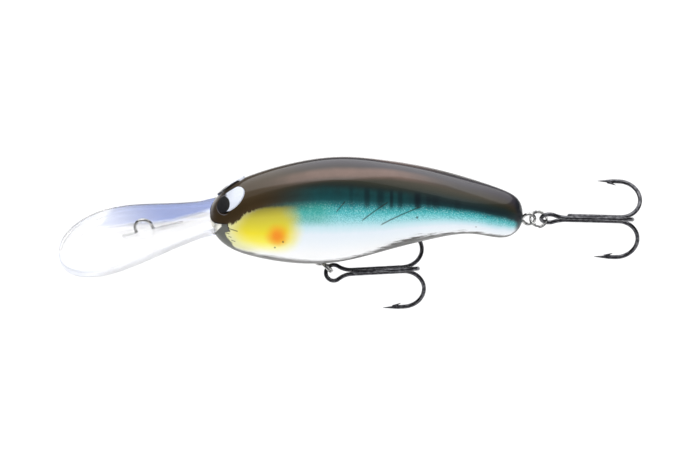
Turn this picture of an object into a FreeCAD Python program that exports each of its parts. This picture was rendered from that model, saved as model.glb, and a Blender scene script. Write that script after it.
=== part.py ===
"""A deep-diving crankbait lure: a hollow two-shell fish body with a clear diving lip,
casting weights rolling in a tube inside, and two treble hooks hung on split rings.

Frame, millimetres: the origin is the middle of the line tie's loop on the lip. +X runs
towards the tail, +Z towards the fish's back, and Y = 0 is the seam between the shells.
"""
import FreeCAD, Part
import math
import os
from FreeCAD import Matrix, Vector

# ---- body -------------------------------------------------------------------------
# PAST_SKIN is any distance that reaches right through the body from its middle
NOSE_X = 17.05
BODY_LENGTH = 79.8
TAIL_X = NOSE_X + BODY_LENGTH
WALL = 1.6
# least share of its height that a control station keeps when the hull is drawn in
THINNEST = 0.3
# control stations of the hull: distance behind the nose, half width, back, belly
HULL = [
    (0.0, 0.0, 5.0, 5.0),
    (0.0, 4.6, 6.0, 0.0),
    (4.0, 6.9, 11.7, -5.4),
    (11.0, 8.2, 15.3, -8.0),
    (21.0, 9.3, 18.8, -10.2),
    (33.0, 9.5, 21.1, -10.2),
    (45.0, 9.2, 19.3, -5.6),
    (56.0, 8.7, 16.9, -2.0),
    (67.0, 7.4, 13.1, 0.9),
    (76.0, 4.8, 10.7, -4.5),
    (79.8, 2.2, 8.0, 0.3),
    (79.8, 0.0, 3.4, 3.4),
]
SECTION_FLAT = 0.62
SECTION_SHOULDER = 0.52
SECTION_SIDE = 1.29
HULL_DEGREE = 3
SECTION_DEGREE = 5
CAVITY_FRONT = NOSE_X + 11.5
CAVITY_REAR = TAIL_X - 8.0
BULKHEAD_X = (NOSE_X + 25.0, NOSE_X + 40.0, NOSE_X + 60.0)
BULKHEAD_THICK = 1.6
PAST_SKIN = 30.0
PEG_RADIUS = 1.0
PEG_LENGTH = 2.4
PEG_FIT = 0.05
PEG_BOSS = 2.0
PEGS = (
    (NOSE_X + 8.0, -3.5), (NOSE_X + 11.0, 9.5), (NOSE_X + 18.0, 13.0),
    (NOSE_X + 40.0, 14.5), (NOSE_X + 60.0, 12.0), (NOSE_X + 73.3, 5.0))

# ---- diving lip -------------------------------------------------------------------
LIP_TILT = 16.0
LIP_THICK = 2.0
LIP_EDGE = 0.6
LIP_FACE_DROP = 0.8
# half outline in the lip's own plane: distance ahead of the nose, half width
LIP_OUTLINE = [
    (0.0, 6.9), (8.0, 8.8), (15.0, 11.2), (21.5, 13.2),
    (27.5, 13.9), (33.6, 12.3), (38.6, 7.6), (40.4, 0.0)]
LIP_SEAT = 5.0
TANG_LENGTH = 9.0
TANG_HALF = 4.0
TANG_PEG_RADIUS = 1.0
TANG_PEG_BACK = 9.5
TANG_PEG_SIDE = 2.2
LIP_FIT = 0.05
SLOT_HALF = 12.0
SLOT_AHEAD = 6.0

# ---- wires, rings and hooks ---------------------------------------------------------
TIE_WIRE = 0.8
TIE_RADIUS = 2.2
TIE_BEND = 0.8
TIE_FOOT_FRONT = 3.0
TIE_FOOT_REAR = 7.0
HANGER_WIRE = 0.8
HANGER_INNER = 1.15
HANGER_LEG_GAP = 0.02
HANGER_FILLET = 0.8
HANGER_LEG = 3.4
HANGER_FOOT = 1.6
RECESS_RADIUS = 3.3
RECESS_HALF = 3.2
RECESS_DROP = 0.3
RING_WIRE = 0.55
RING_RADIUS = 2.1
RING_PITCH = 0.57
RING_TURNS = 1.94
RING_PIECES = 4
LINK_PLAY = 0.12
HOOK_WIRE = 1.05
HOOK_EYE_INNER = 1.5
HOOK_EYE_BACK = 0.63
HOOK_EYE_SIDE = -0.32
# how far along the shank each bend lies: the double hook's two, then the single hook's
BELLY_BENDS = (18.3, 18.3, 16.9)
TAIL_BENDS = (18.4, 16.0, 18.8)
HOOK_BEND_RADIUS = 5.3
HOOK_POINT_RUN = 1.7
HOOK_TAPER = 3.8
HOOK_TIP_RADIUS = 0.05
HOOK_BARB_BACK = 2.6
HOOK_BARB_BASE = 0.42
HOOK_BARB_LENGTH = 2.3
HOOK_BARB_LIFT = math.radians(24.0)
HOOK_NECK_FILLET = 6.0
SINGLE_START = 5.8
SHANK_GAP = 0.01

# The trebles rest with their bends on one flat surface while the fish lies rolled over
# by ROLL from upright, so the rest directions of the rings and hooks come from it.
ROLL = math.radians(35.0)
TOWARDS = Vector(0.0, -math.cos(ROLL), math.sin(ROLL))
ACROSS = Vector(0.0, math.sin(ROLL), math.cos(ROLL))
AFT = Vector(1.0, 0.0, 0.0)
BELLY_PIVOT = Vector(45.1, 0.0, -10.2)
BELLY_RING_DIP = math.radians(-47.6)
BELLY_HOOK_RISE = math.radians(3.0)
TAIL_PIVOT = Vector(98.75, 0.0, 2.5)
TAIL_RING_TURN = math.radians(30.0)
TAIL_HOOK_DROP = math.radians(-3.0)

# ---- inside -------------------------------------------------------------------------
TUBE_Z = 5.6
TUBE_BORE = 3.2
TUBE_WALL = 1.0
TUBE_FRONT = NOSE_X + 25.0
TUBE_REAR = NOSE_X + 66.0
BALL_RADIUS = 3.1
BALL_GAP = 0.1
BALL_START = 0.3
RATTLE_X = NOSE_X + 40.0
RATTLE_Z = -1.7
RATTLE_BORE = 1.7
RATTLE_WALL = 0.8
RATTLE_REACH = 4.6
RATTLE_RADIUS = 1.6
WEIGHT_FRONT = NOSE_X + 12.5
WEIGHT_LENGTH = 10.5
WEIGHT_RADIUS = 2.5
WEIGHT_Z = -4.6
WEIGHT_FIT = 0.03
WEIGHT_BLOCK_TOP = -2.6
HANGER_BLOCK = 5.5
HANGER_BLOCK_TOP = -3.0

# ---- eyes ---------------------------------------------------------------------------
EYE_X = 22.6
EYE_Y = 3.05
EYE_Z = 10.5
EYE_LONG = 4.45
EYE_SHORT = 2.65
EYE_SLANT = -25.0
EYE_DEPTH = 1.1
EYE_PROUD = 0.35


def hull_rows(inset):
    """Control rows of the hull drawn in by inset all round; a negative inset swells it."""
    middle = BODY_LENGTH / 2.0
    rows = []
    for back_of_nose, half_width, back, belly in HULL:
        x = middle + (back_of_nose - middle) * (1.0 - inset / middle)
        centre = (back + belly) / 2.0
        half_height = (back - belly) / 2.0
        if half_width > 0.0:
            half_width = half_width - inset
            half_height = max(half_height - inset, THINNEST * half_height)
        rows.append((NOSE_X + x, half_width, centre, half_height))
    return rows


def hull_surface(inset):
    """The hull's skin on the +Y side, from nose to tail and from back to belly."""
    poles = []
    for x, w, zc, h in hull_rows(inset):
        poles.append([
            Vector(x, 0.0, zc + h),
            Vector(x, SECTION_FLAT * w, zc + h),
            Vector(x, SECTION_SIDE * w, zc + SECTION_SHOULDER * h),
            Vector(x, SECTION_SIDE * w, zc - SECTION_SHOULDER * h),
            Vector(x, SECTION_FLAT * w, zc - h),
            Vector(x, 0.0, zc - h),
        ])
    spans = len(poles) - HULL_DEGREE
    knots = [float(k) for k in range(spans + 1)]
    mults = [HULL_DEGREE + 1] + [1] * (spans - 1) + [HULL_DEGREE + 1]
    ends = [SECTION_DEGREE + 1, SECTION_DEGREE + 1]
    surface = Part.BSplineSurface()
    surface.buildFromPolesMultsKnots(
        poles, mults, ends, knots, [0.0, 1.0], False, False, HULL_DEGREE, SECTION_DEGREE)
    return surface


def hull_half(inset, side):
    """A closed half hull on one side of the seam plane."""
    surface = hull_surface(inset)
    skin = surface.toShape()
    seam = Part.Face(Part.Wire([surface.vIso(0.0).toShape(), surface.vIso(1.0).toShape()]))
    shell = Part.makeShell([skin, seam])
    shell.sewShape()
    half = Part.makeSolid(shell)
    if half.Volume < 0.0:
        half.reverse()
    return half if side > 0 else half.mirror(Vector(0, 0, 0), Vector(0, 1, 0))


def box(x0, x1, y0, y1, z0, z1):
    return Part.makeBox(x1 - x0, y1 - y0, z1 - z0, Vector(x0, y0, z0))


def frame_matrix(origin, along, side, up):
    """Places a shape drawn in its own X, Y, Z on the directions along, side and up."""
    return Matrix(
        along.x, side.x, up.x, origin.x,
        along.y, side.y, up.y, origin.y,
        along.z, side.z, up.z, origin.z,
        0.0, 0.0, 0.0, 1.0)


def placed(shape, matrix):
    moved = shape.copy()
    moved.transformShape(matrix)
    return moved


def swept_wire(edges, start, heading, radius):
    """Round wire of one radius bent along edges that run on smoothly from each other."""
    profile = Part.Wire(Part.makeCircle(radius, start, heading))
    return Part.Wire(edges).makePipeShell([profile], True, True)


def line(a, b):
    return Part.LineSegment(a, b).toShape()


def arc(a, b, c):
    return Part.Arc(a, b, c).toShape()


# ---- places worked out from the sizes above -------------------------------------------
LIP_FORWARD = Vector(-math.cos(math.radians(LIP_TILT)), 0.0, -math.sin(math.radians(LIP_TILT)))
LIP_UP = Vector(-math.sin(math.radians(LIP_TILT)), 0.0, math.cos(math.radians(LIP_TILT)))
LIP_DROP = LIP_FACE_DROP + LIP_THICK / 2.0
LIP_TO_NOSE = (NOSE_X - LIP_UP.x * -LIP_DROP) / -LIP_FORWARD.x
LIP_ROOT = LIP_UP * -LIP_DROP - LIP_FORWARD * LIP_TO_NOSE
RING_PACK = RING_PITCH * (RING_TURNS / 2.0 - 0.25) + RING_WIRE / 2.0
HANGER_RADIUS = HANGER_INNER + HANGER_WIRE / 2.0
LINK_GAP = HANGER_WIRE / 2.0 + RING_PACK + LINK_PLAY
BELLY_LOOP = BELLY_PIVOT + Vector(0.0, 0.0, HANGER_RADIUS - LINK_GAP / math.cos(ROLL))
TAIL_LOOP = TAIL_PIVOT - Vector(HANGER_RADIUS - LINK_GAP, 0.0, 0.0)
BELLY_RING_LINE = AFT * math.cos(BELLY_RING_DIP) + ACROSS * math.sin(BELLY_RING_DIP)
TAIL_RING_LINE = AFT
TAIL_TANGENT = ACROSS * math.cos(TAIL_RING_TURN) - TOWARDS * math.sin(TAIL_RING_TURN)
BELLY_HOOK_PIVOT = BELLY_PIVOT + BELLY_RING_LINE * (2.0 * RING_RADIUS)
TAIL_HOOK_PIVOT = TAIL_PIVOT + TAIL_RING_LINE * (2.0 * RING_RADIUS)
HOOK_EYE_RADIUS = HOOK_EYE_INNER + HOOK_WIRE / 2.0
SHANK_OFFSET = (HOOK_WIRE + SHANK_GAP) / math.sqrt(3.0)
BALL_TRAVEL = TUBE_REAR - TUBE_FRONT - 2.0 * TUBE_WALL - 4.0 * BALL_RADIUS - BALL_GAP - 2.0 * BALL_START


def lip_frame():
    """Origin where the lip's middle plane meets the nose; X ahead, Z out of its upper face."""
    return frame_matrix(LIP_ROOT, LIP_FORWARD, Vector(0.0, -1.0, 0.0), LIP_UP)


def diving_lip():
    """The clear paddle, with a broad seat in the mouth and a narrow tang behind it."""
    near = [Vector(s, w, 0.0) for s, w in LIP_OUTLINE]
    far = [Vector(s, -w, 0.0) for s, w in reversed(LIP_OUTLINE[:-1])]
    paddle = Part.BSplineCurve()
    paddle.interpolate(near + far)
    neck = LIP_OUTLINE[0][1]
    back = LIP_SEAT + TANG_LENGTH
    corners = [
        Vector(0.0, -neck, 0.0), Vector(-LIP_SEAT, -neck, 0.0), Vector(-LIP_SEAT, -TANG_HALF, 0.0),
        Vector(-back, -TANG_HALF, 0.0), Vector(-back, TANG_HALF, 0.0), Vector(-LIP_SEAT, TANG_HALF, 0.0),
        Vector(-LIP_SEAT, neck, 0.0), Vector(0.0, neck, 0.0)]
    edges = [paddle.toShape()] + [line(a, b) for a, b in zip(corners, corners[1:])]
    face = Part.Face(Part.Wire(edges))
    face.translate(Vector(0.0, 0.0, -LIP_THICK / 2.0))
    plate = face.extrude(Vector(0.0, 0.0, LIP_THICK))
    rim = [e for e in plate.Edges if e.BoundBox.XMax > LIP_SEAT and e.BoundBox.ZLength < LIP_EDGE]
    plate = plate.makeFillet(LIP_EDGE, rim)
    for side in (-1.0, 1.0):
        plate = plate.cut(tang_peg(side, PEG_FIT))
    return placed(plate, lip_frame()).cut(line_tie())


def tang_peg(side, fit):
    """Post through the tang, in the lip's own frame."""
    foot = Vector(-TANG_PEG_BACK, side * TANG_PEG_SIDE, -LIP_THICK)
    return Part.makeCylinder(TANG_PEG_RADIUS + fit, 2.0 * LIP_THICK, foot)


def lip_slot():
    """The mouth: a slot right across the nose, narrowing to the tang's width."""
    thick = LIP_THICK + 2.0 * LIP_FIT
    back = LIP_SEAT + LIP_FIT
    deep = LIP_SEAT + TANG_LENGTH + LIP_FIT
    half = TANG_HALF + LIP_FIT
    mouth = box(-back, SLOT_AHEAD, -SLOT_HALF, SLOT_HALF, -thick / 2.0, thick / 2.0)
    slot = mouth.fuse(box(-deep, 0.0, -half, half, -thick / 2.0, thick / 2.0))
    for side in (-1.0, 1.0):
        slot = slot.cut(tang_peg(side, 0.0))
    return placed(slot, lip_frame())


def line_tie():
    """A staple of round wire standing out of the lip, its feet turned fore and aft inside it."""
    r = TIE_RADIUS
    b = TIE_BEND
    z = -LIP_DROP
    k = b * (1.0 - math.sqrt(0.5))
    fore = Vector(-r - b - TIE_FOOT_FRONT, 0.0, z)
    edges = [
        line(fore, Vector(-r - b, 0.0, z)),
        arc(Vector(-r - b, 0.0, z), Vector(-r - k, 0.0, z + k), Vector(-r, 0.0, z + b)),
        line(Vector(-r, 0.0, z + b), Vector(-r, 0.0, 0.0)),
        arc(Vector(-r, 0.0, 0.0), Vector(0.0, 0.0, r), Vector(r, 0.0, 0.0)),
        line(Vector(r, 0.0, 0.0), Vector(r, 0.0, z + b)),
        arc(Vector(r, 0.0, z + b), Vector(r + k, 0.0, z + k), Vector(r + b, 0.0, z)),
        line(Vector(r + b, 0.0, z), Vector(r + b + TIE_FOOT_REAR, 0.0, z)),
    ]
    wire = swept_wire(edges, fore, Vector(1.0, 0.0, 0.0), TIE_WIRE / 2.0)
    return placed(wire, frame_matrix(Vector(), LIP_FORWARD * -1.0, Vector(0.0, 1.0, 0.0), LIP_UP))


def mirrored(point):
    return Vector(point.x, -point.y, point.z)


def neck_edges(radius, leg, fillet, reach):
    """Half an eye loop's neck: from the straight leg round a fillet onto the loop."""
    centre = Vector(reach, leg + fillet, 0.0)
    inward = Vector(0.0, -1.0, 0.0)
    to_loop = centre * (-1.0 / centre.Length)
    middle = inward + to_loop
    middle.normalize()
    on_leg = centre + inward * fillet
    on_loop = centre + to_loop * fillet
    return on_leg, centre + middle * fillet, on_loop


def hanger():
    """An eye of round wire with two legs side by side and feet turned out, loop at the origin."""
    r = HANGER_RADIUS
    leg = HANGER_WIRE / 2.0 + HANGER_LEG_GAP
    f = HANGER_FILLET
    reach = -math.sqrt((r + f) ** 2 - (leg + f) ** 2)
    on_leg, middle, on_loop = neck_edges(r, leg, f, reach)
    foot = reach - HANGER_LEG
    k = f * (1.0 - math.sqrt(0.5))
    toe = Vector(foot, leg + f + HANGER_FOOT, 0.0)
    heel = Vector(foot, leg + f, 0.0)
    bend = Vector(foot + k, leg + k, 0.0)
    ankle = Vector(foot + f, leg, 0.0)
    edges = [
        line(toe, heel),
        arc(heel, bend, ankle),
        line(ankle, on_leg),
        arc(on_leg, middle, on_loop),
        arc(on_loop, Vector(r, 0.0, 0.0), mirrored(on_loop)),
        arc(mirrored(on_loop), mirrored(middle), mirrored(on_leg)),
        line(mirrored(on_leg), mirrored(ankle)),
        arc(mirrored(ankle), mirrored(bend), mirrored(heel)),
        line(mirrored(heel), mirrored(toe)),
    ]
    return swept_wire(edges, toe, Vector(0.0, -1.0, 0.0), HANGER_WIRE / 2.0)


def belly_hanger():
    down = Vector(0.0, 0.0, -1.0)
    return placed(hanger(), frame_matrix(BELLY_LOOP, down, AFT, down.cross(AFT)))


def tail_hanger():
    up = Vector(0.0, 0.0, 1.0)
    return placed(hanger(), frame_matrix(TAIL_LOOP, AFT, up, AFT.cross(up)))


def split_ring(pivot, along, tangent):
    """Two close turns of spring wire, hung at pivot and reaching along to the hook."""
    up = Vector(0.0, 0.0, 1.0)
    turns = RING_TURNS / RING_PIECES
    rise = RING_PITCH * turns
    edges = []
    for k in range(RING_PIECES):
        piece = Part.makeHelix(RING_PITCH, rise, RING_RADIUS)
        piece.rotate(Vector(), up, 360.0 * turns * k)
        piece.translate(up * (rise * k))
        edges.extend(piece.Edges)
    heading = Vector(0.0, 2.0 * math.pi * RING_RADIUS, RING_PITCH)
    ring = swept_wire(edges, Vector(RING_RADIUS, 0.0, 0.0), heading, RING_WIRE / 2.0)
    ring.translate(up * (-RING_PITCH * RING_TURNS / 2.0))
    ring.rotate(Vector(), up, -90.0)
    return placed(ring, frame_matrix(pivot + along * RING_RADIUS, along, tangent, along.cross(tangent)))


def on_hook(x, reach, angle):
    """A point of the treble, reach out from its axis in the hook plane at angle from +Y."""
    side = HOOK_EYE_SIDE + reach * math.cos(angle)
    return Vector(x, side, SHANK_OFFSET / 2.0 + reach * math.sin(angle))


def bend_edges(angle, bend_at):
    """Shank end, round bend and straight run towards the point, in order from the shank."""
    r = HOOK_BEND_RADIUS
    inner = SHANK_OFFSET
    outer = inner + 2.0 * r
    return [
        arc(on_hook(bend_at, inner, angle), on_hook(bend_at + r, inner + r, angle),
            on_hook(bend_at, outer, angle)),
        line(on_hook(bend_at, outer, angle), on_hook(bend_at - HOOK_POINT_RUN, outer, angle)),
    ]


def hook_point(angle, bend_at):
    """The tapered point with the barb raised on its inner side."""
    outer = SHANK_OFFSET + 2.0 * HOOK_BEND_RADIUS
    start = bend_at - HOOK_POINT_RUN
    point = Part.makeCone(
        HOOK_WIRE / 2.0, HOOK_TIP_RADIUS, HOOK_TAPER, on_hook(start, outer, angle), Vector(-1.0, 0.0, 0.0))
    inward = on_hook(0.0, 0.0, angle) - on_hook(0.0, 1.0, angle)
    rise = AFT * math.cos(HOOK_BARB_LIFT) + inward * math.sin(HOOK_BARB_LIFT)
    root = on_hook(start - HOOK_TAPER + HOOK_BARB_BACK, outer - HOOK_BARB_BASE / 2.0, angle)
    barb = Part.makeCone(HOOK_BARB_BASE, HOOK_TIP_RADIUS, HOOK_BARB_LENGTH, root, rise)
    return point.fuse(barb)


def double_hook(first_at, last_at):
    """One length of wire bent into the treble's eye, two shanks side by side and two hooks."""
    r = HOOK_EYE_RADIUS
    leg = SHANK_OFFSET * math.cos(math.radians(30.0))
    f = HOOK_NECK_FILLET
    reach = math.sqrt((r + f) ** 2 - (leg + f) ** 2)
    shift = Vector(HOOK_EYE_BACK, HOOK_EYE_SIDE, 0.0)
    near = neck_edges(r, leg, f, reach)
    on_leg, middle, on_loop = [p + shift for p in near]
    far_leg, far_middle, far_loop = [mirrored(p) + shift for p in near]
    right = math.radians(-30.0)
    left = math.radians(210.0)
    first = bend_edges(right, first_at)
    last = bend_edges(left, last_at)
    edges = [
        first[1], first[0],
        line(on_hook(first_at, SHANK_OFFSET, right), on_leg),
        arc(on_leg, middle, on_loop),
        arc(on_loop, shift - Vector(r, 0.0, 0.0), far_loop),
        arc(far_loop, far_middle, far_leg),
        line(far_leg, on_hook(last_at, SHANK_OFFSET, left)),
        last[0], last[1],
    ]
    start = on_hook(first_at - HOOK_POINT_RUN, SHANK_OFFSET + 2.0 * HOOK_BEND_RADIUS, right)
    wire = swept_wire(edges, start, AFT, HOOK_WIRE / 2.0)
    points = [hook_point(right, first_at), hook_point(left, last_at)]
    return wire.fuse(points).removeSplitter()


def single_hook(bend_at):
    """The third hook, a separate wire brazed into the groove between the other two shanks."""
    up = math.radians(90.0)
    start = on_hook(SINGLE_START, SHANK_OFFSET, up)
    shank = line(start, on_hook(bend_at, SHANK_OFFSET, up))
    edges = [shank] + bend_edges(up, bend_at)
    wire = swept_wire(edges, start, AFT, HOOK_WIRE / 2.0)
    return wire.fuse([Part.makeSphere(HOOK_WIRE / 2.0, start), hook_point(up, bend_at)]).removeSplitter()


def belly_treble_frame():
    along = AFT * math.cos(BELLY_HOOK_RISE) + ACROSS * math.sin(BELLY_HOOK_RISE)
    return frame_matrix(BELLY_HOOK_PIVOT, along, TOWARDS.cross(along), TOWARDS)


def tail_treble_frame():
    side = AFT.cross(TAIL_TANGENT)
    along = AFT * math.cos(TAIL_HOOK_DROP) + side * math.sin(TAIL_HOOK_DROP)
    return frame_matrix(TAIL_HOOK_PIVOT, along, TAIL_TANGENT.cross(along), TAIL_TANGENT)


def eye_frame(side):
    """Origin on the head's skin at the eye's middle, Z out of the skin, X along the eye."""
    surface = hull_surface(0.0)
    u, v = surface.parameter(Vector(EYE_X, EYE_Y, EYE_Z))
    centre = surface.value(u, v)
    out = surface.normal(u, v)
    if out.y < 0.0:
        out = out * -1.0
    along = AFT - out * out.dot(AFT)
    along.normalize()
    along = FreeCAD.Rotation(out, EYE_SLANT).multVec(along)
    centre, out, along = [Vector(p.x, p.y * side, p.z) for p in (centre, out, along)]
    return frame_matrix(centre, along, out.cross(along), out)


def eye_prism(side):
    """Oval prism from the socket's floor to above the skin."""
    oval = Part.Face(Part.Wire(Part.Ellipse(Vector(), EYE_LONG, EYE_SHORT).toShape()))
    oval.translate(Vector(0.0, 0.0, -EYE_DEPTH))
    return placed(oval.extrude(Vector(0.0, 0.0, 3.0 * EYE_DEPTH)), eye_frame(side))


def eye(side):
    return eye_prism(side).common(hull_half(-EYE_PROUD, side))


def casting_tube(radius, shorten):
    length = TUBE_REAR - TUBE_FRONT - 2.0 * shorten
    return Part.makeCylinder(radius, length, Vector(TUBE_FRONT + shorten, 0.0, TUBE_Z), AFT)


def rattle_tube(radius, reach):
    foot = Vector(RATTLE_X, -reach, RATTLE_Z)
    return Part.makeCylinder(radius, 2.0 * reach, foot, Vector(0.0, 1.0, 0.0))


def belly_weight(fit):
    """A lead slug with rounded ends, lying along the keel."""
    r = WEIGHT_RADIUS + fit
    front = Vector(WEIGHT_FRONT + WEIGHT_RADIUS, 0.0, WEIGHT_Z)
    length = WEIGHT_LENGTH - 2.0 * WEIGHT_RADIUS
    rear = front + AFT * length
    slug = Part.makeCylinder(r, length, front, AFT)
    return slug.fuse([Part.makeSphere(r, front), Part.makeSphere(r, rear)]).removeSplitter()


def casting_ball(place):
    x = TUBE_FRONT + TUBE_WALL + BALL_START + BALL_RADIUS + place * (2.0 * BALL_RADIUS + BALL_GAP)
    return Part.makeSphere(BALL_RADIUS, Vector(x, 0.0, TUBE_Z))


def rattle_ball():
    return Part.makeSphere(RATTLE_RADIUS, Vector(RATTLE_X, 0.0, RATTLE_Z))


def fittings():
    """Everything moulded inside the shells: ribs, tubes, blocks and peg bosses."""
    half_rib = BULKHEAD_THICK / 2.0
    x = BELLY_LOOP.x
    far = PAST_SKIN
    pieces = [box(c - half_rib, c + half_rib, -far, far, -far, far) for c in BULKHEAD_X]
    pieces.append(casting_tube(TUBE_BORE + TUBE_WALL, 0.0))
    pieces.append(rattle_tube(RATTLE_BORE + RATTLE_WALL, RATTLE_REACH + RATTLE_WALL))
    pieces.append(box(CAVITY_FRONT, x - HANGER_BLOCK, -far, far, -far, WEIGHT_BLOCK_TOP))
    pieces.append(box(x - HANGER_BLOCK, x + HANGER_BLOCK, -far, far, -far, HANGER_BLOCK_TOP))
    for px, pz in PEGS:
        pieces.append(Part.makeCylinder(PEG_BOSS, 2.0 * far, Vector(px, -far, pz), Vector(0.0, 1.0, 0.0)))
    return pieces


def hollows():
    """Everything cut out of the closed body: bores, seats, the mouth and the belly recess."""
    recess = Part.makeCylinder(
        RECESS_RADIUS, 2.0 * RECESS_HALF,
        BELLY_PIVOT + Vector(0.0, -RECESS_HALF, -RECESS_DROP), Vector(0.0, 1.0, 0.0))
    return [
        casting_tube(TUBE_BORE, TUBE_WALL), rattle_tube(RATTLE_BORE, RATTLE_REACH),
        belly_weight(WEIGHT_FIT), lip_slot(), recess, belly_hanger(), tail_hanger()]


def peg(place, side, radius, length):
    px, pz = place
    return Part.makeCylinder(radius, length, Vector(px, 0.0, pz), Vector(0.0, side, 0.0))


def body_shell(side):
    """One moulded shell; the -Y shell carries the locating pegs and the +Y one their holes."""
    far = PAST_SKIN
    cavity = hull_half(WALL, side).common(box(CAVITY_FRONT, CAVITY_REAR, -far, far, -far, far))
    cavity = cavity.cut(fittings())
    shell = hull_half(0.0, side).cut([cavity] + hollows() + [eye_prism(side)])
    for place in PEGS:
        if side < 0:
            shell = shell.fuse(peg(place, 1.0, PEG_RADIUS, PEG_LENGTH))
        else:
            shell = shell.cut(peg(place, 1.0, PEG_RADIUS + PEG_FIT, PEG_LENGTH + PEG_FIT))
    return shell


def all_parts():
    belly = belly_treble_frame()
    tail = tail_treble_frame()
    return {
        "body_shell_left": body_shell(-1),
        "body_shell_right": body_shell(1),
        "diving_lip": diving_lip(),
        "line_tie_wire": line_tie(),
        "eye_left": eye(-1),
        "eye_right": eye(1),
        "belly_hanger_wire": belly_hanger(),
        "tail_hanger_wire": tail_hanger(),
        "belly_split_ring": split_ring(BELLY_PIVOT, BELLY_RING_LINE, TOWARDS),
        "tail_split_ring": split_ring(TAIL_PIVOT, TAIL_RING_LINE, TAIL_TANGENT),
        "belly_treble_double_hook": placed(double_hook(*BELLY_BENDS[:2]), belly),
        "belly_treble_single_hook": placed(single_hook(BELLY_BENDS[2]), belly),
        "tail_treble_double_hook": placed(double_hook(*TAIL_BENDS[:2]), tail),
        "tail_treble_single_hook": placed(single_hook(TAIL_BENDS[2]), tail),
        "belly_weight": belly_weight(0.0),
        "casting_ball_front": casting_ball(0),
        "casting_ball_rear": casting_ball(1),
        "rattle_ball": rattle_ball(),
    }


os.makedirs("parts", exist_ok=True)
for name, shape in all_parts().items():
    shape.exportStep("parts/" + name + ".step")
    print(name, len(shape.Solids), shape.isValid(), round(shape.Volume, 3))
print("casting ball travel", round(BALL_TRAVEL, 2))
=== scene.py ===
"""A deep-diving crankbait lure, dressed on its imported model: metres, +X to the tail, +Z up."""
import math
import bmesh
import bpy
from mathutils import Matrix, Vector


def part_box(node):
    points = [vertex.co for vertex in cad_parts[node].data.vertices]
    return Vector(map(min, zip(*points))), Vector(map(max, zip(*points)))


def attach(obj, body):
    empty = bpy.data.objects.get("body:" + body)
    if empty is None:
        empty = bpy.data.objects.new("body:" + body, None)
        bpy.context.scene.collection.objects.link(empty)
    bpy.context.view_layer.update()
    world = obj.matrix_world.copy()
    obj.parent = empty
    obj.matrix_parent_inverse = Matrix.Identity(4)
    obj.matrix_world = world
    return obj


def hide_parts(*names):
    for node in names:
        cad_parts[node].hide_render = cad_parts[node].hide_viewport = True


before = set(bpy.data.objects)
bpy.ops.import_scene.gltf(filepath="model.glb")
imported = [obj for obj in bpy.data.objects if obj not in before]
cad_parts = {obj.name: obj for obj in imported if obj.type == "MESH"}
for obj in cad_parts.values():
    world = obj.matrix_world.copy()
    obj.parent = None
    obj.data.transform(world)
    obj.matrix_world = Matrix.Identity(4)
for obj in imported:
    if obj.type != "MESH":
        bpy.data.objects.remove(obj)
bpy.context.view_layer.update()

MM = 0.001


# ---- The two body shells ---------------------------------------------------------------
# Hollow halves injection moulded in ABS and glued along the seam. They are sprayed with
# pearl white, teal fleck, a dark bronze back and a yellow cheek, then clear coated.
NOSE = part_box("body_shell_left")[0].x / MM
# control stations: millimetres behind the nose, half width, height of back and of belly
HULL = [
    (0.0, 0.0, 5.0, 5.0), (0.0, 4.6, 6.0, 0.0), (4.0, 6.9, 11.7, -5.4), (11.0, 8.2, 15.3, -8.0),
    (21.0, 9.3, 18.8, -10.2), (33.0, 9.5, 21.1, -10.2), (45.0, 9.2, 19.3, -5.6), (56.0, 8.7, 16.9, -2.0),
    (67.0, 7.4, 13.1, 0.9), (76.0, 4.8, 10.7, -4.5), (79.8, 2.2, 8.0, 0.3), (79.8, 0.0, 3.4, 3.4)]
# control points of the half section, from the middle of the back round to the keel
SECTION = [(0.0, 1.0), (0.62, 1.0), (1.29, 0.52), (1.29, -0.52), (0.62, -1.0), (0.0, -1.0)]
HULL_DEGREE = 3
SECTION_DEGREE = 5
STEPS_ALONG = 260
STEPS_ROUND = 90
SHARP_ANGLE = math.radians(35.0)


def station(place):
    """The hull's sizes at a place from 0 at the nose to 1 at the tail, on a cubic B-spline."""
    spans = len(HULL) - HULL_DEGREE
    reach = place * spans
    first = min(int(reach), spans - 1)
    knots = [min(max(k - HULL_DEGREE, 0), spans) for k in range(len(HULL) + HULL_DEGREE + 1)]
    rows = [Vector(HULL[first + j]) for j in range(HULL_DEGREE + 1)]
    for turn in range(1, HULL_DEGREE + 1):
        for j in range(HULL_DEGREE, turn - 1, -1):
            low = knots[first + j]
            high = knots[first + j + HULL_DEGREE + 1 - turn]
            rows[j] = rows[j - 1].lerp(rows[j], (reach - low) / (high - low))
    return rows[HULL_DEGREE]


def on_hull(place, girth, side):
    """A point of the skin; girth runs from 0 on the back to 1 on the keel."""
    behind, half_width, back, belly = station(place)
    weights = [
        math.comb(SECTION_DEGREE, k) * girth ** k * (1.0 - girth) ** (SECTION_DEGREE - k)
        for k in range(SECTION_DEGREE + 1)]
    out = sum(w * y for w, (y, z) in zip(weights, SECTION))
    up = sum(w * z for w, (y, z) in zip(weights, SECTION))
    height = (back + belly) / 2.0 + up * (back - belly) / 2.0
    return Vector((NOSE + behind, side * half_width * out, height)) * MM


def piece(name, work):
    """A finished object from a bmesh, smooth but for its sharp edges."""
    mesh = bpy.data.meshes.new(name)
    work.to_mesh(mesh)
    work.free()
    mesh.shade_smooth()
    mesh.set_sharp_from_angle(angle=SHARP_ANGLE)
    made = bpy.data.objects.new(name, mesh)
    bpy.context.scene.collection.objects.link(made)
    return made


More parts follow.
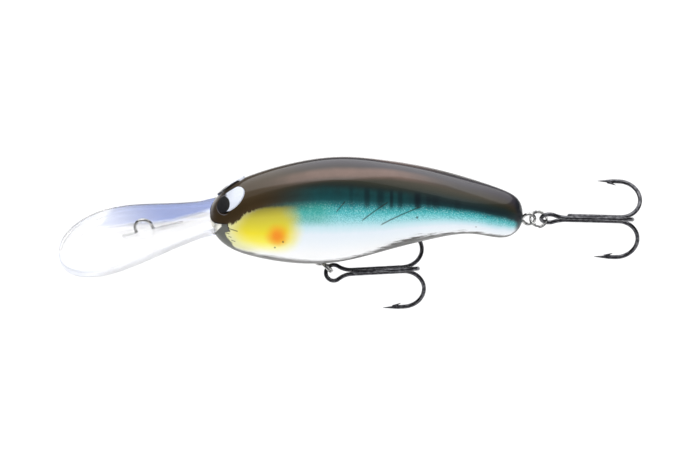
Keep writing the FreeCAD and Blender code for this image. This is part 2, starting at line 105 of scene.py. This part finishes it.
def cut_away(body, cutter):
    """Cuts one object out of another for good and drops the cutter."""
    cut = body.modifiers.new("cut", "BOOLEAN")
    cut.operation = "DIFFERENCE"
    cut.solver = "EXACT"
    cut.object = cutter
    whole = bpy.context.evaluated_depsgraph_get()
    mesh = bpy.data.meshes.new_from_object(body.evaluated_get(whole))
    body.modifiers.clear()
    body.data = mesh
    bpy.data.objects.remove(cutter)


LIP_TILT = math.radians(16.0)
LIP_FRAME = Matrix((
    (-math.cos(LIP_TILT), 0.0, -math.sin(LIP_TILT)),
    (0.0, -1.0, 0.0),
    (-math.sin(LIP_TILT), 0.0, math.cos(LIP_TILT)))).to_4x4()
LIP_DROP = 1.8
LIP_ROOT = (NOSE - LIP_DROP * math.sin(LIP_TILT)) / math.cos(LIP_TILT)
SLOT_THICK = 2.1
# room behind the nose, ahead of it and to each side, for the lip's broad seat and its tang
SEAT_SLOT = (5.05, 8.0, 12.0)
TANG_SLOT = (14.05, 1.0, 4.05)


def slot_box(back, ahead, half):
    """Room for the lip in the mouth, from back behind the nose to ahead of it."""
    work = bmesh.new()
    bmesh.ops.create_cube(work, size=1.0)
    bmesh.ops.scale(work, vec=(ahead + back, 2.0 * half, SLOT_THICK), verts=work.verts)
    bmesh.ops.translate(work, vec=((ahead - back) / 2.0 - LIP_ROOT, 0.0, -LIP_DROP), verts=work.verts)
    bmesh.ops.transform(work, matrix=Matrix.Scale(MM, 4) @ LIP_FRAME, verts=work.verts)
    bmesh.ops.recalc_face_normals(work, faces=work.faces)
    return piece("slot", work)


RECESS_RADIUS = 3.3
RECESS_LENGTH = 6.4
BELLY_PIVOT = Vector((45.1, 0.0, -10.2))
RECESS_DROP = 0.3
RECESS_SIDES = 96


def keel_recess():
    """Room for the belly ring to swing, a round pocket across the keel."""
    work = bmesh.new()
    bmesh.ops.create_cone(
        work, cap_ends=True, segments=RECESS_SIDES,
        radius1=RECESS_RADIUS, radius2=RECESS_RADIUS, depth=RECESS_LENGTH)
    bmesh.ops.rotate(work, matrix=Matrix.Rotation(math.radians(90.0), 3, "X"), verts=work.verts)
    bmesh.ops.translate(work, vec=BELLY_PIVOT - Vector((0.0, 0.0, RECESS_DROP)), verts=work.verts)
    bmesh.ops.scale(work, vec=(MM, MM, MM), verts=work.verts)
    return piece("recess", work)


# how near two corners are when they count as one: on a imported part, on the grid, in a sliver
WELD_PACKED = 0.00001 * MM
WELD_GRID = 0.001 * MM
WELD_SLIVER = 0.0005 * MM


def copy_of_node(name):
    """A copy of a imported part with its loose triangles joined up."""
    work = bmesh.new()
    work.from_mesh(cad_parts[name].data)
    bmesh.ops.remove_doubles(work, verts=work.verts, dist=WELD_PACKED)
    return piece("copy of " + name, work)


def body_half(name, side, eye):
    """One shell: a grid bent round the hull, closed on the seam and cut for what it holds."""
    work = bmesh.new()
    bmesh.ops.create_grid(work, x_segments=STEPS_ALONG, y_segments=STEPS_ROUND, size=0.5)
    girths = work.verts.layers.float.new("girth")
    for vert in work.verts:
        place = 0.5 - 0.5 * math.cos(math.pi * min(max(vert.co.x + 0.5, 0.0), 1.0))
        girth = min(max(vert.co.y + 0.5, 0.0), 1.0)
        vert[girths] = girth
        vert.co = on_hull(place, girth, side)
    bmesh.ops.remove_doubles(work, verts=work.verts, dist=WELD_GRID)
    bmesh.ops.dissolve_degenerate(work, edges=work.edges, dist=WELD_SLIVER)
    bmesh.ops.holes_fill(work, edges=[e for e in work.edges if e.is_boundary])
    bmesh.ops.recalc_face_normals(work, faces=work.faces)
    shell = piece(name, work)
    cut_away(shell, slot_box(*SEAT_SLOT))
    cut_away(shell, slot_box(*TANG_SLOT))
    cut_away(shell, keel_recess())
    cut_away(shell, copy_of_node(eye))
    shell.data.set_sharp_from_angle(angle=SHARP_ANGLE)
    return shell


class Field:
    """A number or colour that varies over a surface, to be used in sums like a number."""

    def __init__(self, tree, socket=None):
        self.tree = tree
        self.socket = socket

    def node(self, kind, settings, values, output=0):
        """A new node: its type, its settings, and the values or links of its sockets."""
        made = self.tree.nodes.new(kind)
        for name, value in settings.items():
            if name == "stops":
                elements = made.color_ramp.elements
                elements.remove(elements[1])
                elements[0].position = value[0][0]
                elements[0].color = value[0][1]
                for place, colour in value[1:]:
                    elements.new(place).color = colour
            else:
                setattr(made, name, value)
        for name, value in values.items():
            if isinstance(value, Field):
                self.tree.links.new(value.socket, made.inputs[name])
            else:
                made.inputs[name].default_value = value
        return Field(self.tree, made.outputs[output])

    def maths(self, operation, first, second=0.0):
        return self.node("ShaderNodeMath", {"operation": operation}, {0: first, 1: second})

    def __add__(self, other):
        return self.maths("ADD", self, other)

    def __sub__(self, other):
        return self.maths("SUBTRACT", self, other)

    def __rsub__(self, other):
        return self.maths("SUBTRACT", other, self)

    def __mul__(self, other):
        return self.maths("MULTIPLY", self, other)

    def __truediv__(self, other):
        return self.maths("DIVIDE", self, other)

    def __pow__(self, other):
        return self.maths("POWER", self, other)

    def __abs__(self):
        return self.maths("ABSOLUTE", self)

    __radd__ = __add__
    __rmul__ = __mul__

    def rise(self, low, high):
        """0 up to low and 1 from high, with a soft change between; low may be the greater."""
        if low > high:
            return 1.0 - self.rise(high, low)
        return self.node(
            "ShaderNodeMapRange", {"interpolation_type": "SMOOTHSTEP"},
            {"Value": self, "From Min": low, "From Max": high}, "Result")

    def near(self, middle, half, soft):
        """1 within half of the middle, fading to 0 over soft."""
        return abs(self - middle).rise(half + soft, half)

    def tint(self, under, over):
        """The colour under where this mask is 0, and over where it is 1."""
        return self.node(
            "ShaderNodeMix", {"data_type": "RGBA", "clamp_factor": True},
            {0: self, 6: under, 7: over}, 2)

    def ramp(self, stops):
        """The colour read off a row of stops, which are places on this field with colours."""
        low = stops[0][0]
        span = stops[-1][0] - low
        scaled = [((place - low) / span, colour) for place, colour in stops]
        return self.node("ShaderNodeValToRGB", {"stops": scaled}, {"Fac": (self - low) / span}, "Color")

    def curve(self, points):
        """A number read off a line through points, for a border that wanders."""
        top = max(value for place, value in points)
        greys = [(place, (value / top,) * 3 + (1.0,)) for place, value in points]
        return self.ramp(greys) * top


def colour(red, green, blue):
    """A paint colour given on the 0 to 255 scale of a colour chart."""
    parts = [c / 255.0 for c in (red, green, blue)]
    return tuple(c / 12.92 if c <= 0.04045 else ((c + 0.055) / 1.055) ** 2.4 for c in parts) + (1.0,)


def finish(name, **constants):
    """A new material with its surface node and the place on the piece in millimetres."""
    material = bpy.data.materials.new(name)
    material.use_nodes = True
    surface = material.node_tree.nodes["Principled BSDF"]
    for socket, value in constants.items():
        surface.inputs[socket.replace("_", " ")].default_value = value
    start = Field(material.node_tree)
    place = start.node("ShaderNodeTexCoord", {}, {}, "Object")
    place = start.node("ShaderNodeVectorMath", {"operation": "SCALE"}, {0: place, "Scale": 1.0 / MM})
    return material, surface, place


def feed(surface, **fields):
    """Links fields to the sockets of a shader, an underscore standing for a space."""
    for socket, field in fields.items():
        field.tree.links.new(field.socket, surface.inputs[socket.replace("_", " ")])


def grain(place, scale, detail=2.0, rough=0.5):
    """Noise from 0 to 1 over the piece, scale being bumps per millimetre."""
    return place.node(
        "ShaderNodeTexNoise", {}, {"Vector": place, "Scale": scale, "Detail": detail, "Roughness": rough}, 0)


def stretched(place, x, y, z):
    """The place squeezed along each axis, for grain that runs in streaks."""
    return place.node("ShaderNodeVectorMath", {"operation": "MULTIPLY"}, {0: place, 1: (x, y, z)})


def axes(place):
    """The place's three numbers, each as a field of its own."""
    return [place.node("ShaderNodeSeparateXYZ", {}, {0: place}, k) for k in range(3)]


def relief(height, depth, strength=1.0):
    """Bumps from a field of heights; depth is in millimetres."""
    return height.node(
        "ShaderNodeBump", {}, {"Height": height, "Distance": depth * MM, "Strength": strength}, 0)


# where the dark back ends and the cheek or flank begins, and where the painted shade along the keel begins
BACK_EDGE = [
    (0.0, 0.62), (2.2, 0.50), (3.6, 0.435), (5.0, 0.42), (8.0, 0.37), (10.4, 0.32), (14.5, 0.305),
    (22.9, 0.318), (30.6, 0.332), (44.4, 0.354), (57.9, 0.352), (68.2, 0.370), (75.1, 0.408), (77.4, 0.47),
    (80.0, 0.60)]
KEEL_SHADE_EDGE = [
    (0.0, 0.52), (6.3, 0.68), (12.0, 0.695), (18.0, 0.70), (28.0, 0.735), (36.0, 0.74), (42.0, 0.705),
    (47.0, 0.64), (52.0, 0.62), (64.0, 0.635), (72.0, 0.65), (78.0, 0.72), (80.0, 0.75)]
# how far back the painted shade under the chin reaches, by girth
CHIN_SHADE_EDGE = [
    (0.40, 3.4), (0.44, 3.6), (0.49, 4.0), (0.54, 4.1), (0.60, 4.8), (0.63, 5.5), (0.68, 5.9), (0.78, 7.0),
    (1.0, 9.0)]
BACK_TO_FLANK = [
    (-0.32, colour(56, 52, 60)), (-0.20, colour(62, 56, 44)), (-0.15, colour(48, 50, 40)),
    (-0.11, colour(34, 48, 46)), (-0.06, colour(26, 46, 50)), (-0.025, colour(24, 58, 62)),
    (0.0, colour(34, 102, 108)), (0.022, colour(54, 156, 162)), (0.055, colour(88, 196, 202)),
    (0.095, colour(146, 220, 228)), (0.14, colour(200, 234, 242)), (0.19, colour(234, 244, 252)),
    (0.34, colour(253, 254, 255))]
# how far down the shoulder the clear coat lies thick enough to mirror the light, by distance
SHINE_EDGE = [
    (0.0, 0.30), (8.0, 0.13), (14.0, 0.14), (34.0, 0.175), (41.0, 0.14), (48.0, 0.105), (60.0, 0.105),
    (68.0, 0.15), (76.0, 0.22), (80.0, 0.30)]
# bronze pearl paint lightened by a painted sheen from its flakes
COPPER_SHEEN = colour(126, 100, 90)
HEAD_BROWN = colour(64, 49, 27)
# the cheek from its upper edge down to where it fades into white
CHEEK = [
    (0.29, colour(120, 116, 52)), (0.33, colour(160, 150, 58)), (0.38, colour(204, 192, 62)),
    (0.44, colour(224, 210, 48)), (0.50, colour(244, 226, 38)), (0.57, colour(252, 240, 84)),
    (0.63, colour(255, 250, 160)), (0.70, colour(253, 252, 236))]
CHEEK_ORANGE = colour(248, 146, 0)
JAW_CREAM = colour(232, 230, 176)
# grey painted shade under the chin, carried on to the lip's root below the jaw
CHIN_SHADE = colour(96, 98, 92)
MOUTH_CREAM = colour(232, 228, 206)
# grey painted shade along the keel, where the belly lies in shade
KEEL_SHADE = colour(88, 87, 84)
NOSE_PINK = colour(226, 202, 190)
TEAL_DEEP = colour(22, 120, 124)
TEAL_GREEN = colour(60, 158, 132)
FLECK_PALE = colour(186, 232, 230)
BAR_DARK = colour(16, 26, 34)
INK = colour(34, 32, 26)
# dark bars over the back: millimetres behind the nose, half width, strength
BARS = [
    (36.0, 0.6, 0.3), (40.0, 0.8, 0.6), (43.4, 1.0, 0.55), (46.2, 0.5, 0.7), (48.4, 0.7, 0.55),
    (52.8, 0.9, 0.8), (55.6, 0.6, 0.4), (57.4, 1.1, 0.45), (63.0, 0.8, 0.3)]
# ink strokes on the flank and behind the mouth: behind the nose and girth at either end
STROKES = [
    (32.2, 0.385, 34.6, 0.32), (38.6, 0.45, 45.5, 0.325), (43.2, 0.492, 54.0, 0.35),
    (4.5, 0.458, 7.3, 0.487), (4.4, 0.487, 5.3, 0.497), (4.2, 0.520, 5.1, 0.523), (4.8, 0.555, 5.6, 0.565),
    (5.4, 0.600, 6.6, 0.605)]
# dark pinholes in the paint: behind the nose, girth, radius
PINHOLES = [
    (18.7, 0.562, 0.24), (16.6, 0.615, 0.22), (52.7, 0.445, 0.3), (70.2, 0.41, 0.2),
    (67.7, 0.565, 0.2)]
# millimetres of skin from the back ridge to the keel
GIRTH_LENGTH = 30.0
# the yellow cheek and its orange spot: behind the nose and girth of the middle, then half sizes
MANTLE = (14.4, 0.465, 7.8, 0.21)
SPOT = (17.2, 0.518, 3.7, 0.105)
# middle of the pupil: behind the nose, out to the side, height
PUPIL = (4.4, 3.05, 8.75)
PUPIL_RADIUS = 2.4
PUPIL_BLACK = colour(14, 14, 17)
PUPIL_LINE = colour(134, 132, 140)


def oval(x, girth, shape):
    """Squared distance from the middle of an oval patch, 1 on its border."""
    middle, level, half_long, half_high = shape
    return ((x - middle) / half_long) ** 2.0 + ((girth - level) / half_high) ** 2.0


def with_pupil(paint, x, y, z):
    """The colours with the black pupil printed over them, and a thin line round its front."""
    along = x - PUPIL[0]
    away = (along ** 2.0 + (abs(y) - PUPIL[1]) ** 2.0 + (z - PUPIL[2]) ** 2.0) ** 0.5
    line = away.near(PUPIL_RADIUS + 0.24, 0.03, 0.09) * along.rise(0.6, -0.6) * z.rise(12.6, 11.0)
    paint = (line * 0.8).tint(paint, PUPIL_LINE)
    return away.rise(PUPIL_RADIUS + 0.06, PUPIL_RADIUS - 0.06).tint(paint, PUPIL_BLACK)


def shell_paint():
    """The whole paint scheme with its painted shade and sheen, laid out by distance behind the nose and
    girth.
    """
    material, surface, place = finish(
        "painted_shell", Coat_Roughness=0.03, Coat_IOR=1.5, Specular_IOR_Level=0.25)
    x, y, z = axes(place)
    x = x - NOSE
    girth = place.node("ShaderNodeAttribute", {"attribute_name": "girth"}, {}, "Fac")
    cloud = grain(place, 0.35, 3.0)
    smear = grain(stretched(place, 0.25, 1.4, 1.4), 1.0, 4.0, 0.65)
    fleck = grain(place, 3.6, 2.0, 0.7)
    feather = grain(stretched(place, 1.6, 0.5, 0.5), 1.0, 4.0, 0.7)
    head = x.rise(15.0, 6.0)
    edge = x.curve(BACK_EDGE) + (feather - 0.5) * (0.02 + 0.10 * head)
    down = girth - edge
    paint = down.ramp(BACK_TO_FLANK)
    # teal fleck in the band below the back
    band = down.near(0.06, 0.03, 0.06)
    paint = (band * fleck.rise(0.53, 0.40) * 0.42).tint(paint, TEAL_DEEP)
    paint = (band * fleck.rise(0.52, 0.66) * 0.5).tint(paint, FLECK_PALE)
    paint = (band * x.near(24.0, 3.0, 7.0) * 0.45).tint(paint, TEAL_GREEN)
    gaps = down.near(-0.05, 0.025, 0.05) * x.near(35.0, 10.0, 12.0) * (0.08 + 0.3 * cloud)
    paint = gaps.tint(paint, TEAL_DEEP)
    # copper along the shoulder: bronze pearl paint with a painted sheen, the brightening its flakes give
    # under the light
    copper_sheen = (girth + 0.035 * x.rise(36.0, 48.0)).near(0.13, 0.012, 0.06) * x.near(33.0, 11.0, 20.0)
    paint = (copper_sheen * (0.55 + 0.4 * cloud)).tint(paint, COPPER_SHEEN)
    # brown head, running out over the shoulder
    brown = x.rise(30.0, 11.0) * down.rise(0.05, 0.01)
    paint = brown.tint(paint, HEAD_BROWN)
    # yellow cheek with its orange spot
    below = down.rise(-0.008, 0.02)
    paint = (x.rise(15.0, 9.0) * below * girth.rise(0.76, 0.66)).tint(paint, JAW_CREAM)
    mantle = oval(x, girth, MANTLE) + (cloud - 0.5) * 0.3
    paint = (mantle.rise(1.75, 0.3) * below).tint(paint, girth.ramp(CHEEK))
    spot = oval(x, girth, SPOT) ** 0.5 + (cloud - 0.5) * 0.25
    paint = spot.rise(1.05, 0.10).tint(paint, CHEEK_ORANGE)
    # soft bars over the back
    for middle, half, strength in BARS:
        bar = x.near(middle, half * 0.3, half * 1.1) * down.near(-0.045, 0.04, 0.05) * strength
        paint = bar.tint(paint, BAR_DARK)
    # ink strokes
    for x0, g0, x1, g1 in STROKES:
        along = (x - x0) / (x1 - x0)
        off = abs(girth - (g0 + along * (g1 - g0)))
        stroke = off.rise(0.009, 0.002) * along.near(0.5, 0.42, 0.08) * 0.7
        paint = stroke.tint(paint, INK)
    for x0, g0, radius in PINHOLES:
        away = ((x - x0) ** 2.0 + ((girth - g0) * GIRTH_LENGTH) ** 2.0) ** 0.5
        paint = (away.rise(radius + 0.12, radius - 0.1) * 0.7).tint(paint, INK)
    # painted shade: a grey band along the keel, where the belly turns down into shade
    keel_shade = (girth - x.curve(KEEL_SHADE_EDGE) + (smear - 0.5) * (0.06 + 0.12 * x.rise(30.0, 42.0))).rise(0.0, 0.06)
    paint = (keel_shade * (0.7 + 0.5 * smear)).tint(paint, KEEL_SHADE)
    # painted shade: grey under the chin, where the head turns down into shade
    chin_shade = (girth.curve(CHIN_SHADE_EDGE) - x + (feather - 0.5) * 1.2).rise(-0.3, 0.3) * down.rise(0.0, 0.02)
    paint = chin_shade.tint(paint, CHIN_SHADE)
    paint = (x.rise(1.4, 0.5) * girth.rise(0.50, 0.57)).tint(paint, NOSE_PINK)
    # an ink line along the upper lip, and bare plastic inside the mouth and the keel recess
    above_lip = z * math.cos(LIP_TILT) - (x + NOSE) * math.sin(LIP_TILT) + LIP_DROP
    paint = (above_lip.near(1.24, 0.08, 0.1) * x.rise(4.4, 3.2) * 0.85).tint(paint, INK)
    paint = (x.rise(77.2, 78.7) * 0.92).tint(paint, BAR_DARK)
    paint = with_pupil(paint, x, y, z)
    paint = (girth.rise(0.012, 0.006) * z.rise(4.6, 4.4)).tint(paint, MOUTH_CREAM)
    coat = 1.0 - 0.35 * x.rise(52.0, 78.0) - 0.25 * x.rise(18.0, 4.0)
    thin_coat = (girth - x.curve(SHINE_EDGE)).rise(0.0, 0.025)
    feed(surface, Base_Color=paint, Coat_Weight=coat * (1.0 - 0.75 * thin_coat))
    metal = down.rise(0.0, -0.06) * 0.35
    feed(surface, Metallic=metal, Roughness=0.5 - 0.12 * cloud)
    seam = abs(y).rise(0.10, 0.0)
    feed(surface, Normal=relief(fleck * 0.004 - seam * 0.05, 1.0))
    return material


shell_finish = shell_paint()
for name, side in (("left", -1.0), ("right", 1.0)):
    node = "body_shell_" + name
    half = body_half("painted_" + node, side, "eye_" + name)
    half.data.materials.clear()
    half.data.materials.append(shell_finish)
    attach(half, "hull")
    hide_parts(node)


# ---- The diving lip --------------------------------------------------------------------
# A paddle moulded in clear polycarbonate, its base colour lavender over its far side, pegged
# and glued in the mouth so that it pulls the lure down on the retrieve.
LIP_CLEAR = colour(252, 252, 255)
LIP_PALE = colour(208, 214, 234)
LIP_LAVENDER = colour(118, 136, 196)
LIP_MILKY = colour(252, 250, 238)
# half width of the paddle against distance from the middle of the line tie
LIP_WIDTHS = [
    (-21.9, 0.0), (-21.0, 5.0), (-20.2, 7.6), (-15.3, 12.3), (-9.4, 13.9), (-3.6, 13.2), (2.6, 11.2),
    (9.4, 8.8), (17.1, 6.9), (25.0, 6.9)]
LIP_RIM = 0.9
# how far behind the nose the glued root turns from clear to milky
ROOT_FROM = 0.8
ROOT_FULL = 2.6
# near border of the tint, by distance from the line tie
LIP_TINT_EDGE = [(-22.0, 8.0), (-8.5, 4.8), (-2.8, 3.9), (2.9, 2.05), (7.5, 1.2), (17.4, 2.1), (25.0, 2.1)]


def lip_plastic():
    """Clear plastic, its base colour lavender over the far side and along the rim, milky where it is glued,
    with the painted chin shade below the jaw.
    """
    material, surface, place = finish("clear_polycarbonate", IOR=1.58, Transmission_Weight=1.0)
    x, y, z = axes(place)
    haze = grain(place, 0.25, 3.0)
    far_side = (y - x.curve(LIP_TINT_EDGE) + (haze - 0.5) * 1.2).rise(-0.3, 1.0)
    far_side = far_side * (x - y * 0.4).rise(-16.5, -13.0)
    rim = (abs(y) + LIP_RIM - x.curve(LIP_WIDTHS)).rise(0.0, LIP_RIM)
    rim = rim * (0.55 + 0.45 * x.rise(-10.0, -16.0))
    tinted = far_side.maths("MAXIMUM", far_side, rim)
    strong = (x + y * 0.3).rise(-12.0, 8.0) * far_side
    tint = strong.tint(LIP_PALE, LIP_LAVENDER)
    feed(surface, Base_Color=tinted.tint(LIP_CLEAR, tint))
    feed(surface, Alpha=0.5 + 0.4 * tinted)
    feed(surface, Roughness=0.015 + 0.02 * grain(place, 1.4))
    feed(surface, Normal=relief(grain(stretched(place, 0.1, 0.25, 0.25), 1.0) * 0.05, 1.0))
    tree = material.node_tree
    glued = tree.nodes.new("ShaderNodeBsdfPrincipled")
    glued.inputs["Roughness"].default_value = 0.6
    height = z * math.cos(LIP_TILT) - x * math.sin(LIP_TILT) + LIP_DROP
    jaw = (x - NOSE - height * 1.16 - 1.9).rise(-0.2, 0.2)
    # below the jaw line the glued root takes the painted shade of the chin
    feed(glued, Base_Color=jaw.tint(LIP_MILKY, CHIN_SHADE))
    joined = tree.nodes.new("ShaderNodeMixShader")
    tree.links.new(x.rise(NOSE + ROOT_FROM, NOSE + ROOT_FULL).socket, joined.inputs[0])
    tree.links.new(surface.outputs[0], joined.inputs[1])
    tree.links.new(glued.outputs[0], joined.inputs[2])
    tree.links.new(joined.outputs[0], tree.nodes["Material Output"].inputs["Surface"])
    return material


def dress(node, material):
    """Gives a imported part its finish."""
    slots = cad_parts[node].data.materials
    slots.clear()
    slots.append(material)


dress("diving_lip", lip_plastic())


# ---- The line tie and the two hook hangers --------------------------------------------
# Stainless spring wire, bent cold. The tie is moulded into the lip with its feet turned
# fore and aft, and each hanger is trapped between the shells when they are glued.
WIRE_BRIGHT = colour(214, 214, 212)
WIRE_DULL = colour(150, 150, 150)


def drawn_wire(name, bright, dull, rough):
    """Drawn wire: fine lines along it, and duller patches where it was handled."""
    material, surface, place = finish(name, Metallic=1.0)
    patches = grain(place, 1.1, 3.0)
    lines = grain(place, 9.0, 2.0, 0.7)
    feed(surface, Base_Color=patches.rise(0.38, 0.66).tint(bright, dull))
    feed(surface, Roughness=rough + 0.14 * patches)
    feed(surface, Normal=relief(lines * 0.006, 1.0))
    return material


hanger_steel = drawn_wire("bright_wire", WIRE_BRIGHT, WIRE_DULL, 0.12)
for node in ("line_tie_wire", "belly_hanger_wire", "tail_hanger_wire"):
    dress(node, hanger_steel)


# ---- The split rings -------------------------------------------------------------------
# Two close turns of flat-wound spring steel, nickel plated, each joining a hanger to
# the eye of its treble so that the hook swings clear of the body.
ring_steel = drawn_wire("nickel_ring", colour(205, 205, 203), colour(128, 128, 128), 0.10)
for node in ("belly_split_ring", "tail_split_ring"):
    dress(node, ring_steel)


# ---- The treble hooks ------------------------------------------------------------------
# Each is one wire bent into an eye and two hooks with a third hook brazed between them,
# barbed, ground to a point, hardened, and plated in black nickel.
BLACK_NICKEL = colour(68, 68, 72)
BLACK_NICKEL_WORN = colour(112, 112, 116)
hook_plate = drawn_wire("black_nickel", BLACK_NICKEL, BLACK_NICKEL_WORN, 0.16)
for node in ("belly_treble_double_hook", "belly_treble_single_hook",
             "tail_treble_double_hook", "tail_treble_single_hook"):
    dress(node, hook_plate)


# ---- The eyes --------------------------------------------------------------------------
# Pad-printed oval eyes set in shallow sockets on the brow: a white oval, a black pupil
# at its lower front end with a thin grey line round it, under a clear dome.
EYE_WHITE = colour(236, 240, 250)
BROW_DARK = colour(30, 24, 22)


def eye_print():
    material, surface, place = finish("printed_eye", Coat_Weight=1.0, Coat_Roughness=0.02)
    x, y, z = axes(place)
    x = x - NOSE
    print_colour = grain(place, 2.0).tint(EYE_WHITE, colour(222, 230, 246))
    brow = x.rise(PUPIL[0] + 0.2, PUPIL[0] - 0.5)
    brow = brow.maths("MAXIMUM", brow, abs(y).rise(1.50, 1.32))
    print_colour = brow.tint(print_colour, BROW_DARK)
    feed(surface, Base_Color=with_pupil(print_colour, x, y, z))
    feed(surface, Roughness=0.30 + 0.1 * grain(place, 3.0))
    return material


eye_finish = eye_print()
for node in ("eye_left", "eye_right"):
    dress(node, eye_finish)


# ---- What rolls and sits inside --------------------------------------------------------
# A cast lead slug along the keel, two polished steel casting balls in their tube, and a
# small steel ball that knocks from side to side. None of it shows when the body is shut.
def cast_lead():
    material, surface, place = finish("cast_lead", Metallic=1.0)
    skin = grain(place, 0.9, 4.0, 0.6)
    feed(surface, Base_Color=skin.tint(colour(92, 94, 98), colour(138, 140, 146)))
    feed(surface, Roughness=0.45 + 0.25 * skin, Normal=relief(skin * 0.06, 1.0))
    return material


dress("belly_weight", cast_lead())
ball_steel = drawn_wire("ball_steel", colour(200, 202, 206), colour(176, 178, 182), 0.06)
for node in ("casting_ball_front", "casting_ball_rear", "rattle_ball"):
    dress(node, ball_steel)


# ---- Floor, light and camera -----------------------------------------------------------
# A white floor well below the lure, one wide soft light overhead, a weak fill from the
# camera's side, and a long lens looking down on the lure's left side.
FLOOR_DROP = 0.20
FLOOR_SIZE = 6.0


def pale_floor():
    material, surface, place = finish("pale_floor", Roughness=0.9)
    feed(surface, Base_Color=grain(place, 0.002).tint(colour(246, 246, 246), colour(250, 250, 250)))
    return material


floor_work = bmesh.new()
bmesh.ops.create_grid(floor_work, x_segments=1, y_segments=1, size=FLOOR_SIZE / 2.0)
bmesh.ops.translate(floor_work, vec=(0.0, 0.0, -FLOOR_DROP), verts=floor_work.verts)
floor = piece("floor", floor_work)
floor.data.materials.append(pale_floor())


def soft_light(name, place, width, depth, watts, toward):
    lamp = bpy.data.lights.new(name, "AREA")
    lamp.shape = "RECTANGLE"
    lamp.size = width
    lamp.size_y = depth
    lamp.energy = watts
    made = bpy.data.objects.new(name, lamp)
    made.location = place
    made.rotation_euler = (toward - place).to_track_quat("-Z", "Y").to_euler()
    bpy.context.scene.collection.objects.link(made)
    return made


LIGHT_HEIGHT = 0.60
# how high over the horizon the softbox's two long edges stand, seen from the lure
NEAR_RISE = math.radians(56.0)
FAR_RISE = math.radians(18.0)
LIGHT_NEAR = -LIGHT_HEIGHT / math.tan(NEAR_RISE)
LIGHT_FAR = LIGHT_HEIGHT / math.tan(FAR_RISE)
SOFTBOX_WIDTH = 1.8
SOFTBOX_WATTS = 21.0
FILL_WATTS = 7.2
light_middle = Vector((0.05, (LIGHT_NEAR + LIGHT_FAR) / 2.0, LIGHT_HEIGHT))
soft_light(
    "overhead_softbox", light_middle, SOFTBOX_WIDTH, LIGHT_FAR - LIGHT_NEAR, SOFTBOX_WATTS,
    light_middle - Vector((0.0, 0.0, 1.0)))
fill = soft_light(
    "fill", Vector((0.0, -1.0, -0.05)), 1.2, 0.6, FILL_WATTS, Vector((0.05, 0.0, 0.0)))
fill.visible_glossy = False

world = bpy.data.worlds.new("studio")
world.use_nodes = True
world.node_tree.nodes["Background"].inputs["Color"].default_value = (0.11, 0.11, 0.115, 1.0)
bpy.context.scene.world = world
bpy.context.scene.view_settings.view_transform = "Standard"

AIM = Vector((0.05276, -0.00095, -0.00136))
ELEVATION = math.radians(35.0)
DISTANCE = 1.2
VIEW_WIDTH = 0.1789
lens = bpy.data.cameras.new("camera")
lens.sensor_width = 36.0
lens.lens = lens.sensor_width * DISTANCE / VIEW_WIDTH
lens.clip_end = 20.0
camera = bpy.data.objects.new("camera", lens)
camera.rotation_euler = (math.radians(90.0) - ELEVATION, 0.0, 0.0)
camera.location = AIM + DISTANCE * Vector((0.0, -math.cos(ELEVATION), math.sin(ELEVATION)))
bpy.context.scene.collection.objects.link(camera)
bpy.context.scene.camera = camera
